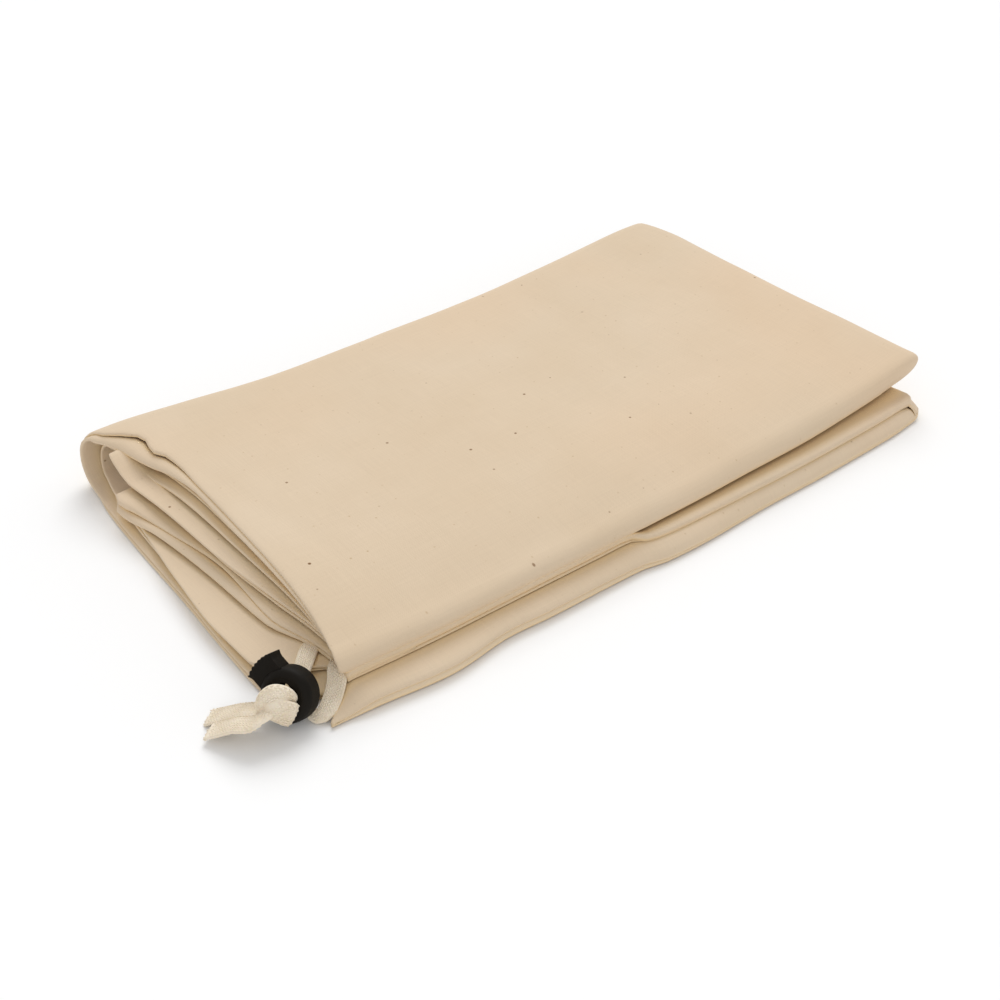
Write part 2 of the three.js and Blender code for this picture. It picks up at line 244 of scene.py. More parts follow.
# Points of each strand with the ribbon's width, thickness and the way its width points
upperStrand = [
    ((8.4, -54.2, 7.5), 6.2, 1.2, (0.69, -0.72, 0.0)),
    ((5.8, -56.4, 8.1), 6.2, 1.4, (0.69, -0.72, 0.0)),
    ((3.2, -58.6, 8.9), 6.2, 1.6, (0.69, -0.72, 0.0)),
    ((0.6, -61.0, 8.9), 6.2, 1.7, (0.69, -0.72, 0.0)),
    ((-2.2, -63.6, 8.8), 5.8, 1.8, (0.64, -0.76, 0.0)),
    ((-4.8, -66.2, 8.2), 4.6, 2.2, (0.5, -0.8, -0.2)),
    ((-6.9, -68.2, 7.3), 3.4, 2.7, (0.3, -0.85, -0.4)),
]
lowerStrand = [
    ((9.6, -67.6, 7.9), 6.0, 1.2, (0.6, -0.75, -0.1)),
    ((7.8, -69.3, 8.4), 6.2, 1.4, (0.55, -0.8, -0.1)),
    ((5.6, -71.4, 8.7), 6.4, 1.6, (0.5, -0.85, -0.1)),
    ((3.3, -74.3, 7.6), 6.5, 1.7, (0.5, -0.86, -0.05)),
    ((0.6, -76.6, 5.7), 6.5, 1.7, (0.45, -0.9, 0.0)),
    ((-2.4, -78.4, 3.9), 6.4, 1.7, (0.42, -0.9, -0.05)),
    ((-5.3, -79.4, 2.4), 6.0, 1.8, (0.3, -0.95, -0.1)),
    ((-7.6, -78.7, 1.7), 5.0, 2.0, (-0.1, -0.95, -0.1)),
    ((-8.3, -76.6, 1.8), 4.0, 2.2, (-0.8, -0.3, -0.1)),
    ((-7.5, -74.4, 2.6), 3.4, 2.6, (-0.8, 0.1, -0.4)),
    ((-7.3, -72.4, 4.4), 3.0, 2.8, (-0.8, -0.1, 0.3)),
]
tailStart = np.array([-25.2, -73.4, 9.2])
tailEnd = np.array([-35.0, -59.6, 1.6])
tailAcross = unit([-(tailEnd - tailStart)[1], (tailEnd - tailStart)[0], 0.0])


def strandRoute(start, side):
    rows = list(start)
    for along in (cord["lockBack"], 0.0, cord["lockFront"]):
        point = lockCentre + lockAxis * along + lockSide * side * cord["boreOffset"]
        rows.append((tuple(point), cord["inLockWidth"], cord["inLockThickness"], tuple(-lockOut)))
    shift = tailAcross * side * cord["tailApart"]
    middle = knotCentre + shift * 0.25 + lockSide * side * 0.4
    rows.append((tuple(middle), 4.2, 2.4, (-0.5, -0.8, -0.2)))
    along = unit(tailEnd - tailStart)
    first = tailStart + shift
    last = tailEnd + shift - along * side * cord["tailStagger"]
    for point, width, thickness in ((middle * 0.4 + first * 0.6 + [0, 0, 0.2], 5.8, 2.0),
                                    (first + along * 1.0, 6.6, 1.8),
                                    (first + (last - first) * 0.4 + [0, 0, 0.7], 6.8, 1.7),
                                    (first + (last - first) * 0.75 + [0, 0, 0.3], 7.2, 1.5),
                                    (last, 7.5, 1.4)):
        rows.append((tuple(point), width, thickness, tuple(tailAcross)))
    return rows


# Smooth line through points, with the other values carried along it, at even steps
def smoothLine(rows, step):
    rows = np.array([list(p) + [w, t] + list(d) for p, w, t, d in rows])
    ends = np.vstack([2 * rows[0] - rows[1], rows, 2 * rows[-1] - rows[-2]])
    gaps = np.sqrt(np.linalg.norm(np.diff(ends[:, :3], axis=0), axis=1))
    knots = np.concatenate([[0], np.cumsum(np.maximum(gaps, 1e-6))])
    pieces = []

    def mixed(i, j, t, start, end):
        gap = knots[j] - knots[i]
        return (knots[j] - t) / gap * start + (t - knots[i]) / gap * end

    for i in range(1, len(ends) - 2):
        t = np.linspace(knots[i], knots[i + 1], 24, endpoint=False)[:, None]
        a, b, c = [mixed(j, j + 1, t, ends[j], ends[j + 1]) for j in (i - 1, i, i + 1)]
        pieces.append(mixed(i, i + 1, t, mixed(i - 1, i + 1, t, a, b), mixed(i, i + 2, t, b, c)))
    line = np.vstack(pieces + [rows[-1:]])
    run = np.concatenate([[0], np.cumsum(np.linalg.norm(np.diff(line[:, :3], axis=0), axis=1))])
    count = max(2, int(round(run[-1] / step)))
    at = np.linspace(0, run[-1], count + 1)
    return np.stack([np.interp(at, run, line[:, k]) for k in range(line.shape[1])], axis=1), at


def ribbonFrames(line):
    along = unit(np.gradient(line[:, :3], axis=0))
    across = line[:, 5:8] - along * np.sum(line[:, 5:8] * along, axis=1, keepdims=True)
    across = unit(across)
    return along, across, np.cross(along, across)


# Closed flat band swept along a line; a section is a rounded oblong
def band(line, ringPoints, squareness=cord["squareness"], closedEnd=0.35):
    along, across, normal = ribbonFrames(line)
    angles = np.linspace(0, 2 * math.pi, ringPoints, endpoint=False)
    u, v = [np.sign(turn) * np.abs(turn) ** (2 / squareness) for turn in (np.cos(angles), np.sin(angles))]
    halfWidth = line[:, 3] / 2
    halfThick = line[:, 4] / 2
    rings = (line[:, None, :3] + across[:, None, :] * (halfWidth[:, None] * u)[:, :, None]
             + normal[:, None, :] * (halfThick[:, None] * v)[:, :, None])
    points = list(rings.reshape(-1, 3))
    faces = ringFaces(len(line), ringPoints)
    for end, sign in ((0, -1), (len(line) - 1, 1)):
        points.append(line[end, :3] + along[end] * sign * closedEnd * halfThick[end])
        hub = len(points) - 1
        for j in range(ringPoints):
            a, b = end * ringPoints + j, end * ringPoints + (j + 1) % ringPoints
            faces.append((a, b, hub) if sign > 0 else (b, a, hub))
    return points, faces


# Where each yarn of the plait lies on a band: place, direction and the way it faces
def plaitPlaces(line, at, spare=0.6):
    along, across, normal = ribbonFrames(line)
    spots = []
    steps = int((at[-1] - spare) / cord["plaitPitch"])
    tilt = math.radians(cord["yarnTilt"])
    for face in (1, -1):
        for j in range(steps):
            for parity in (0, 1):
                here = (j + 0.5 * parity + 0.3) * cord["plaitPitch"]
                row = np.array([np.interp(here, at, line[:, k]) for k in range(8)])
                i = min(int(np.searchsorted(at, here)), len(at) - 1)
                ribs = max(3, int(round(row[3] / cord["ribPitch"])))
                for k in range(parity, ribs, 2):
                    s = (k + 0.5) / ribs * 2 - 1
                    bulge = (1 - abs(s) ** cord["squareness"]) ** (1 / cord["squareness"])
                    lean = np.clip(s * abs(s) ** 1.4, -1, 1)
                    out = unit(normal[i] * face * (1 - abs(lean) * 0.75) + across[i] * lean)
                    spot = row[:3] + across[i] * s * row[3] / 2 + normal[i] * face * bulge * row[4] / 2
                    turn = tilt if k % 2 else -tilt
                    way = along[i] * math.cos(turn) + np.cross(out, along[i]) * math.sin(turn)
                    spots.append((spot, way, out))
    return spots


# Loose yarn ends at the cut
def frayedPlaces(line, seed):
    along, across, normal = ribbonFrames(line)
    chance = np.random.default_rng(seed)
    spots = []
    for k in range(cord["frayedYarns"]):
        s = chance.uniform(-0.95, 0.95)
        spot = line[-1, :3] + across[-1] * s * line[-1, 3] / 2
        spot = spot + normal[-1] * chance.uniform(-0.7, 0.7) * line[-1, 4] / 2
        spot = spot + along[-1] * chance.uniform(-0.1, 0.75)
        way = unit(along[-1] + across[-1] * chance.normal(0, 0.25) + normal[-1] * chance.normal(0, 0.2))
        spots.append((spot, way, unit(normal[-1] + across[-1] * chance.normal(0, 0.4))))
    return spots


# Yarns of the plait: one small lens of yarn on each point, laid along its direction
def plaitTree(material):
    tree = bpy.data.node_groups.new("plaited yarn", "GeometryNodeTree")
    for name, kind in (("Geometry", "NodeSocketGeometry"), ("Yarn Length", "NodeSocketFloat"),
                       ("Yarn Width", "NodeSocketFloat"), ("Yarn Height", "NodeSocketFloat"),
                       ("Seed", "NodeSocketInt")):
        tree.interface.new_socket(name, in_out="INPUT", socket_type=kind)
    tree.interface.new_socket("Geometry", in_out="OUTPUT", socket_type="NodeSocketGeometry")
    given = addNode(tree, "NodeGroupInput")
    yarn = addNode(tree, "GeometryNodeMeshUVSphere", {"Segments": 6, "Rings": 4, "Radius": 0.5})
    direction, facing = [addNode(tree, "GeometryNodeInputNamedAttribute", {"Name": name},
                                 data_type="FLOAT_VECTOR") for name in ("yarnDirection", "yarnFacing")]
    laid = addNode(tree, "FunctionNodeAlignRotationToVector",
                   {"Vector": direction.outputs["Attribute"]}, axis="X")
    turned = addNode(tree, "FunctionNodeAlignRotationToVector",
                     {"Rotation": laid.outputs["Rotation"], "Vector": facing.outputs["Attribute"]},
                     axis="Z", pivot_axis="X")
    size = addNode(tree, "ShaderNodeCombineXYZ",
                   {"X": given.outputs["Yarn Length"], "Y": given.outputs["Yarn Width"],
                    "Z": given.outputs["Yarn Height"]})
    uneven = addNode(tree, "FunctionNodeRandomValue", {2: 0.86, 3: 1.14, "Seed": given.outputs["Seed"]},
                     data_type="FLOAT")
    scaled = addNode(tree, "ShaderNodeVectorMath", {0: size.outputs["Vector"], "Scale": uneven.outputs[1]},
                     operation="SCALE")
    spread = addNode(tree, "GeometryNodeInstanceOnPoints",
                     {"Points": given.outputs["Geometry"], "Instance": yarn.outputs["Mesh"],
                      "Rotation": turned.outputs["Rotation"], "Scale": scaled.outputs["Vector"]})
    real = addNode(tree, "GeometryNodeRealizeInstances", {"Geometry": spread.outputs["Instances"]})
    smooth = addNode(tree, "GeometryNodeSetShadeSmooth", {0: real.outputs["Geometry"]})
    finished = addNode(tree, "GeometryNodeSetMaterial", {"Geometry": smooth.outputs[0]})
    finished.inputs["Material"].default_value = material
    addNode(tree, "NodeGroupOutput", {"Geometry": finished.outputs["Geometry"]})
    return tree


yarnTree = plaitTree(braidedCotton)


def plaitPiece(name, spots, seed):
    mesh = bpy.data.meshes.new(name)
    mesh.from_pydata([tuple(p) for p in placed([s[0] for s in spots])], [], [])
    for label, column in (("yarnDirection", 1), ("yarnFacing", 2)):
        values = mesh.attributes.new(label, "FLOAT_VECTOR", "POINT")
        values.data.foreach_set("vector", np.array([s[column] for s in spots], np.float32).ravel())
    piece = addObject(name, mesh)
    modifier = piece.modifiers.new("yarn", "NODES")
    modifier.node_group = yarnTree
    given = {"Yarn Length": cord["yarnLength"] * mm, "Yarn Width": cord["yarnWidth"] * mm,
             "Yarn Height": cord["yarnHeight"] * mm, "Seed": seed}
    for item in yarnTree.interface.items_tree:
        if item.item_type == "SOCKET" and item.in_out == "INPUT" and item.name in given:
            modifier[item.identifier] = given[item.name]
    return settle(piece)


def joined(name, pieces, material):
    whole = bmesh.new()
    for piece in pieces:
        whole.from_mesh(piece.data)
    mesh = meshOf(whole, name)
    for piece in pieces:
        bpy.data.objects.remove(piece)
    mesh.materials.append(material)
    for face in mesh.polygons:
        face.material_index = 0
    mesh.shade_smooth()
    return addObject(name, mesh)


def makeStrand(name, start, side, seed):
    line, at = smoothLine(strandRoute(start, side), cord["ringStep"])
    points, faces = band(line, cord["ringPoints"])
    core = meshPiece(name + "_core", placed(points), faces, braidedCotton)
    yarns = plaitPiece(name + "_yarns", plaitPlaces(line, at) + frayedPlaces(line, seed), seed)
    piece = joined(name, [core, yarns], braidedCotton)
    return piece, line, at[-1]


upperCord, upperLine, upperLength = makeStrand("drawcord_upper", upperStrand, -1, 3)
lowerCord, lowerLine, lowerLength = makeStrand("drawcord_lower", lowerStrand, 1, 8)
print(f"cords {upperLength:.1f} mm and {lowerLength:.1f} mm long")

# Knot, in the directions right, up and towards the viewer
knot = {
    "right": (0.758, -0.652, 0.0),
    "up": (0.386, 0.449, 0.806),
    "near": (-0.526, -0.611, 0.592),
    "middle": (4.4, 5.0, 3.4),
    "remesh": 0.16,
}
knotBands = [
    [   # upper lobe, from the left over the top to the right
        ((-3.4, -3.0, -1.0), 4.2, 2.6, (-1.0, -0.2, 0.2)),
        ((-4.3, -0.6, 0.2), 4.8, 2.9, (-1.0, 0.0, 0.2)),
        ((-3.4, 2.0, 1.4), 5.4, 3.2, (-0.8, 0.6, 0.0)),
        ((-0.9, 3.8, 1.9), 5.6, 3.2, (-0.1, 1.0, -0.1)),
        ((2.1, 3.5, 1.1), 5.2, 3.0, (0.6, 0.8, -0.2)),
        ((3.8, 1.9, -0.8), 4.8, 2.8, (0.9, 0.3, -0.2)),
        ((3.4, 0.4, -2.6), 4.4, 2.6, (0.9, 0.0, -0.2)),
    ],
    [   # lower right lobe, spreading from the slit
        ((-4.2, -2.6, -0.4), 3.4, 2.0, (0.35, 0.9, 0.1)),
        ((-2.6, -1.9, 1.3), 4.6, 2.3, (0.35, 0.9, 0.0)),
        ((-0.1, -1.7, 2.3), 6.4, 2.5, (0.4, 0.9, 0.0)),
        ((2.5, -2.1, 2.0), 7.8, 2.6, (0.42, 0.9, 0.0)),
        ((4.3, -2.9, 0.4), 7.8, 2.6, (0.42, 0.9, 0.0)),
        ((4.1, -3.4, -1.9), 6.6, 2.6, (0.42, 0.9, 0.0)),
    ],
]


def makeKnot():
    axes = np.array([unit(knot["right"]), unit(knot["up"]), unit(knot["near"])])
    parts = []
    spots = []
    for rows in knotBands:
        turned = [(tuple(knotCentre + np.array(p) @ axes), w, t, tuple(np.array(d) @ axes))
                  for p, w, t, d in rows]
        line, at = smoothLine(turned, cord["ringStep"])
        points, faces = band(line, cord["ringPoints"], squareness=2.2, closedEnd=0.8)
        parts.append(meshPiece("knot_band", placed(points), faces, braidedCotton))
        spots += plaitPlaces(line, at, spare=0.3)
    build = bmesh.new()
    spin = Matrix([list(r) for r in axes]).transposed().to_4x4()
    bmesh.ops.create_uvsphere(build, u_segments=24, v_segments=16, radius=1.0,
                              matrix=Matrix.Translation(Vector(placed(knotCentre))) @ spin
                              @ Matrix.Diagonal((*[half * mm for half in knot["middle"]], 1.0)))
    core = addObject("knot_middle", meshOf(build, "knot_middle"))
    body = joined("knot_body", parts + [core], braidedCotton)
    remesh = body.modifiers.new("fuse", "REMESH")
    remesh.mode = "VOXEL"
    remesh.voxel_size = knot["remesh"] * mm
    soften = body.modifiers.new("soften", "SMOOTH")
    soften.factor = 0.5
    soften.iterations = 3
    settle(body)
    yarns = plaitPiece("knot_yarns", spots, 5)
    return joined("drawcord_knot", [body, yarns], braidedCotton)


knotPiece = makeKnot()
print("knot tied")


# Unbleached cotton calico, plain woven: matt cream, with thicker threads here and there and brown
# flecks of seed. The weave is 0.45 mm in the real cloth and is drawn at 0.8 mm, so that it shows.
calico = {
    "thread": 0.8,
    "slubScales": (60.0, 1900.0),
    "light": "#dac7ae",
    "shade": "#d1bb9e",
    "warm": "#dabb99",
    "fleck": "#7a5836",
    "fleckSpacing": 21.0,
    "fleckSize": 0.5,
    "speck": "#b59a74",
    "speckSpacing": 6.5,
    "speckSize": 0.34,
    # painted light and shade of the folds: a pale warm painted glow, a brown painted shade at their bottoms,
    # and how far the occlusion that paints them reaches, in mm
    "paintedFoldGlow": "#fae0ac",
    "paintedFoldShade": "#8a5c2a",
    "paintedShadeReach": 8.0,
}


def plainWeave():
    material, tree, shader = startMaterial("unbleached cotton calico", {
        "Roughness": 0.88, "Specular IOR Level": 0.2, "Sheen Weight": 0.12, "Sheen Roughness": 0.5})
    where = addNode(tree, "ShaderNodeUVMap", uv_map="weave").outputs["UV"]
    body = addNode(tree, "ShaderNodeTexCoord").outputs["Object"]

    # the threads of warp and weft, and the thicker ones among them
    axes = addNode(tree, "ShaderNodeSeparateXYZ", {"Vector": where})
    turns = 2 * math.pi / (calico["thread"] * mm)
    long, fine = calico["slubScales"]
    threads = []
    thick = []
    for axis, scale, shift in (("X", (long, fine, 1), 3.1), ("Y", (fine, long, 1), 7.7)):
        turned = addNode(tree, "ShaderNodeMath", {0: axes.outputs[axis], 1: turns}, operation="MULTIPLY")
        threads.append(addNode(tree, "ShaderNodeMath", {0: turned.outputs[0]}, operation="SINE").outputs[0])
        flat = addNode(tree, "ShaderNodeMapping",
                       {"Vector": where, "Scale": scale, "Location": (shift, shift * 0.7, 0)})
        thick.append(addNode(tree, "ShaderNodeTexNoise", {"Vector": flat.outputs["Vector"], "Scale": 1.0,
                                                          "Detail": 2.0}).outputs["Fac"])
    weave = addNode(tree, "ShaderNodeMath", {0: threads[0], 1: threads[1]}, operation="MULTIPLY").outputs[0]
    slubs = addNode(tree, "ShaderNodeMath", {0: thick[0], 1: thick[1]}, operation="ADD").outputs[0]
    grain = 0.92
    for pattern, strength in ((slubs, 0.08), (weave, 0.014)):
        grain = addNode(tree, "ShaderNodeMath", {0: pattern, 1: strength, 2: grain},
                        operation="MULTIPLY_ADD").outputs[0]
    height = addNode(tree, "ShaderNodeMath", {0: weave, 1: 0.25, 2: slubs}, operation="MULTIPLY_ADD")

    # the cloth's colour, uneven and in places a little pink
    mottle, warmth = [addNode(tree, "ShaderNodeTexNoise", {"Vector": body, "Scale": scale, "Detail": detail})
                      for scale, detail in ((22.0, 3.0), (11.0, 1.0))]
    base = addNode(tree, "ShaderNodeMix",
                   {"Factor": mottle.outputs["Fac"], 6: colourOf(calico["shade"]),
                    7: colourOf(calico["light"])}, data_type="RGBA")
    pink = addNode(tree, "ShaderNodeMapRange",
                   {"Value": warmth.outputs["Fac"], "From Min": 0.5, "From Max": 0.75,
                    "To Min": 0.0, "To Max": 0.3})
    warm = addNode(tree, "ShaderNodeMix",
                   {"Factor": pink.outputs["Result"], 6: base.outputs[2], 7: colourOf(calico["warm"])},
                   data_type="RGBA")
    colour = addNode(tree, "ShaderNodeMix", {"Factor": 1.0, 6: warm.outputs[2], 7: grain},
                     data_type="RGBA", blend_type="MULTIPLY")

    # pale specks, and fewer brown flecks
    for kind, strength, shift in (("speck", 0.7, 0.013), ("fleck", 1.0, 0.4)):
        spacing, size = calico[kind + "Spacing"], calico[kind + "Size"]
        place = addNode(tree, "ShaderNodeMapping", {"Vector": where, "Location": (shift, shift * 0.6, 0)})
        cells = addNode(tree, "ShaderNodeTexVoronoi",
                        {"Vector": place.outputs["Vector"], "Scale": 1000.0 / spacing},
                        voronoi_dimensions="2D")
        chance = addNode(tree, "ShaderNodeSeparateColor", {"Color": cells.outputs["Color"]})
        near = addNode(tree, "ShaderNodeMath", {0: cells.outputs["Distance"], 1: spacing},
                       operation="MULTIPLY")
        over = addNode(tree, "ShaderNodeMath", {0: chance.outputs["Red"], 1: 0.45}, operation="SUBTRACT")
        reach = addNode(tree, "ShaderNodeMath", {0: over.outputs[0], 1: size * 2}, operation="MULTIPLY")
        past = addNode(tree, "ShaderNodeMath", {0: near.outputs[0], 1: reach.outputs[0]},
                       operation="SUBTRACT")
        spot = addNode(tree, "ShaderNodeMapRange",
                       {"Value": past.outputs[0], "From Min": 0.14, "From Max": -0.14,
                        "To Min": 0.0, "To Max": strength})
        faded = addNode(tree, "ShaderNodeMath", {0: spot.outputs["Result"], 1: chance.outputs["Green"]},
                        operation="MULTIPLY")
        colour = addNode(tree, "ShaderNodeMix",
                         {"Factor": faded.outputs[0], 6: colour.outputs[2], 7: colourOf(calico[kind])},
                         data_type="RGBA")

    # painted light and shade: by ambient occlusion, the partly hidden folds are painted a warm glow that
    # stands in for light passing through the cloth, and their bottoms are painted brown as painted shade
    occlusion = addNode(tree, "ShaderNodeAmbientOcclusion", {"Distance": calico["paintedShadeReach"] * mm}, samples=6)
    depth, paintedShadeShare = [addNode(tree, "ShaderNodeMapRange",
                             {"Value": occlusion.outputs["AO"], "From Min": first, "From Max": last,
                              "To Min": 0.0, "To Max": most})
                     for first, last, most in ((0.8, 0.3, 0.85), (0.36, 0.06, 1.0))]
    paintedGlow = addNode(tree, "ShaderNodeMix",
                   {"Factor": paintedShadeShare.outputs["Result"], 6: colourOf(calico["paintedFoldGlow"]),
                    7: colourOf(calico["paintedFoldShade"])}, data_type="RGBA")
    paintedFoldShading = addNode(tree, "ShaderNodeMix",
                   {"Factor": depth.outputs["Result"], 6: colour.outputs[2], 7: paintedGlow.outputs[2]},
                   data_type="RGBA")
    bump = addNode(tree, "ShaderNodeBump",
                   {"Strength": 0.4, "Distance": bumpDepth, "Height": height.outputs[0]})
    # the base colour carries the painted glow and painted shade of the folds
    linkInto(tree, shader, {"Base Color": paintedFoldShading.outputs[2], "Normal": bump.outputs["Normal"]})
    return material


calicoCloth = plainWeave()

# Cloth: two panels, joined at the bottom and the sides and open at the mouth, folded in half
# across the length and in thirds across the width. Sheets 1 and 4 are the outer panel, 2 and 3 the
# inner one. Offsets are counted from the middle of a third, towards sheet 1.
cloth = {
    "thickness": 0.5,
    "outerOffset": 3.2,
    "innerOffset": 0.9,
    "lowerHeight": 3.475,
    "innerHeight": 11.225,
    "upperHeight": 19.375,
    "pairBlend": 1.7,       # how far the offset goes from the lower pair's outline to the upper's
    "droopReach": 36.0,
    "loftFrontY": -90.0,
    "loftBackY": 84.0,
    "seamClear": 4.0,
    "turnSteps": 14,
    "sheetLength": 290.0,
    "noseSteps": 12,
    "crowding": 1.12,       # the columns stand closer together at the open end
    "mouthInset": 1.4,
    "weaveTurn": 590.0,     # where the weave comes back to, past the right fold
    "weaveApart": 700.0,
    "grooveDepth": 2.6,
    "hemDepth": 25.0,
    "hemGap": 0.62,
    "cell": 4.6,
    "curlReach": 12.0,
    "curlHeight": 6.0,
    "topSag": 2.6,
}
# Soft creases in the top, from one end to the other: x, y, x, y, depth and half width
creases = [
    (18.8, 37.5, 33.2, -58.4, 0.45, 4.0),
    (52, 70, 66, -20, 0.22, 5.0),
    (120, 60, 175, -50, 0.2, 6.0),
    (205, 66, 188, -30, 0.25, 5.0),
    (150, -20, 262, -52, 0.22, 5.0),
    (60, -35, 128, -62, 0.22, 4.5),
    (238, 50, 276, -10, 0.2, 5.0),
]
sectionLengths = [165.0, 25.0, 150.0, 12.8, 133.0]

outlineColumns = ("x", "lowerPair", "upperPair", "frontTurn", "backFold", "innerSeam", "rise", "lip", "sharp",
                  "droop")
outlineRows = [
    (-10, -84.5, -74.2, -68.6, 78, 56, 9, 3.6, 0.95, 5.5),
    (10, -86.9, -77.2, -70.4, 78, 57, 11, 3.9, 0.95, 5.5),
    (40, -91, -79.9, -72.8, 74.5, 58, 11, 3.9, 0.95, 5.5),
    (62, -89.4, -81.1, -74.0, 71.5, 57.5, 10, 3.8, 0.95, 5.5),
    (80, -91, -82.1, -75.0, 70, 57, 10, 3.7, 0.95, 5.5),
    (110, -92.6, -83.8, -77.0, 68.5, 56, 9, 3.2, 1.0, 5.4),
    (125, -93.8, -84.6, -77.8, 68.2, 56, 7, 2.5, 1.05, 5.2),
    (131, -95.6, -88.6, -78.1, 68.5, 56, 5.5, 1.9, 1.1, 5.1),
    (160, -97.3, -91.5, -79.2, 68, 56, 5, 1.4, 1.1, 4.9),
    (178, -97.3, -92.5, -79.8, 68.6, 56.5, 5, 1.3, 1.1, 4.5),
    (220, -98.8, -94.3, -81, 70, 58, 4.5, 1.2, 1.05, 3.6),
    (260, -99.3, -94.8, -80.4, 73, 57, 4.5, 1.2, 0.85, 2.2),
    (290, -97.5, -94, -80.2, 75, 56, 4.5, 1.3, 0.55, 0.8),
]
loftColumns = ("x", "front", "middle", "back")
loftRows = [
    (-15, 0.99, 1.04, 1.1),
    (60, 1.0, 1.03, 1.06),
    (150, 1.02, 1.01, 1.04),
    (250, 1.02, 1.01, 1.05),
    (290, 1.09, 1.05, 1.06),
]
endColumns = ("section", "share", "sheet1", "sheet2", "sheet3", "sheet4", "right", "nose")
endRows = [
    (0, 0, -6.4, -6.4, 6, 6, 281, 0.9),
    (0, 0.012, -4.5, -4.5, 6, 6, 283.8, 0.9),
    (0, 0.03, -1, -1, 6, 6, 285.8, 0.9),
    (0, 0.06, 0, 0, 5, 5, 286, 0.9),
    (0, 0.09, -3, -3, -2, -2, 285.4, 0.9),
    (0, 0.17, -14.6, -14, -12, -13, 285, 0.9),
    (0, 0.3, -13.6, -13.2, -11, -13, 286.5, 0.9),
    (0, 0.5, -11, -10.5, -8, -10, 288.5, 1),
    (0, 0.75, -8.5, -8, -5, -4.5, 289.5, 1),
    (0, 0.9, -6.3, -6, -1, -2, 290, 1),
    (1, 0, -3.2, -4, 4, 1.5, 290.5, 0.9),
    (1, 0.5, -1.7, -2.8, 8, 3.6, 293, 0.7),
    (2, 0, 3.8, -0.2, 8.5, 5.5, 294, 0.5),
    (2, 0.034, 9.5, 3, 10.5, 7, 295, 0.48),
    (2, 0.08, 14.6, 5.6, 12, 8.2, 295.5, 0.46),
    (2, 0.115, 13.6, 7, 12, 7.8, 295.7, 0.45),
    (2, 0.142, 12.6, 8, 12, 7.8, 295.5, 0.45),
    (2, 0.185, 15.2, 9.4, 12.5, 8.2, 295, 0.45),
    (2, 0.24, 15.6, 11.2, 13, 8.8, 294.5, 0.45),
    (2, 0.35, 14.3, 12.3, 13, 9.2, 293, 0.45),
    (2, 0.5, 13, 11.3, 12.5, 9.4, 291, 0.45),
    (2, 0.75, 10, 9, 11, 9.2, 289, 0.45),
    (3, 0, 4.5, 5, 7, 6, 288.5, 0.55),
    (3, 0.3, 3, 4, 5.5, 5.2, 290.2, 0.65),
    (3, 0.5, 3, 4, 5, 5, 291, 0.75),
    (3, 0.75, 5.5, 6, 6.5, 6.5, 288, 0.8),
    (4, 0, 6.5, 7, 8, 8, 286, 1),
    (4, 0.1, 5.5, 6, 8, 8, 286, 1),
    (4, 0.25, 0, 2, 6, 6, 285, 1),
    (4, 0.5, -1, 4, 4, 3, 284, 1),
    (4, 0.75, -3.5, -0.5, 4, 2, 284, 1),
    (4, 0.9, -6.5, -4, 4, 0.4, 284, 1),
    (4, 0.96, -7, -5.8, 4, 0.2, 284, 1),
    (4, 1, -4.5, -4.5, 4, 0.6, 284, 1),
]

# How far the front of the lower third is puffed up, by the offset of the sheet
puffOffsets = [-3.2, -0.9, 0.9, 2.05, 3.2]
puffRise = [1.1, 2.5, 3.7, 2.2, 0.0]

sectionStarts = np.concatenate([[0], np.cumsum(sectionLengths)])


# Distance across the width from the front edge, and back to section and share
def runOf(section, share):
    return sectionStarts[section] + share * sectionLengths[section]


def wayOf(run):
    section = np.clip(np.searchsorted(sectionStarts, run, side="right") - 1, 0, 4)
    return section, (run - sectionStarts[section]) / np.array(sectionLengths)[section]


# Smooth curve through a table's values that never swings past them
def smoothCurve(keys, values):
    keys = np.array(keys, float)
    values = np.array(values, float)
    steps = np.diff(keys)
    rises = np.diff(values) / steps
    slopes = np.zeros(len(keys))
    for i in range(1, len(keys) - 1):
        if rises[i - 1] * rises[i] > 0:
            before = 2 * steps[i] + steps[i - 1]
            after = steps[i] + 2 * steps[i - 1]
            slopes[i] = (before + after) / (before / rises[i - 1] + after / rises[i])

    def at(key):
        key = np.clip(key, keys[0], keys[-1])
        i = np.clip(np.searchsorted(keys, key, side="right") - 1, 0, len(keys) - 2)
        t = (key - keys[i]) / steps[i]
        return (values[i] * (1 + 2 * t) * (1 - t) ** 2 + slopes[i] * steps[i] * t * (1 - t) ** 2
                + values[i + 1] * t * t * (3 - 2 * t) + slopes[i + 1] * steps[i] * t * t * (t - 1))
    return at


def tableCurves(rows, columns, keys, first):
    return {name: smoothCurve(keys, [row[k] for row in rows]) for k, name in enumerate(columns) if k >= first}


outline = tableCurves(outlineRows, outlineColumns, [row[0] for row in outlineRows], 1)
loft = tableCurves(loftRows, loftColumns, [row[0] for row in loftRows], 1)
ends = tableCurves(endRows, endColumns, [runOf(row[0], row[1]) for row in endRows], 2)


def smoothStep(value):
    value = np.clip(value, 0, 1)
    return value * value * (3 - 2 * value)


# 0 up to a start, then a smooth rise to 1 over a width
def ramp(value, start, width):
    return smoothStep((value - start) / width)


def lerp(a, b, share):
    return a + (b - a) * share


puffOf = smoothCurve(puffOffsets, puffRise)
topLipOf = smoothCurve([-3.2, -2.05, -0.9], [1.3, -0.5, 0.0])
leftLipOf = smoothCurve([-3.2, -2.05, -0.9], [3.7, 0.8, 0.0])   # it stands up against the flap there


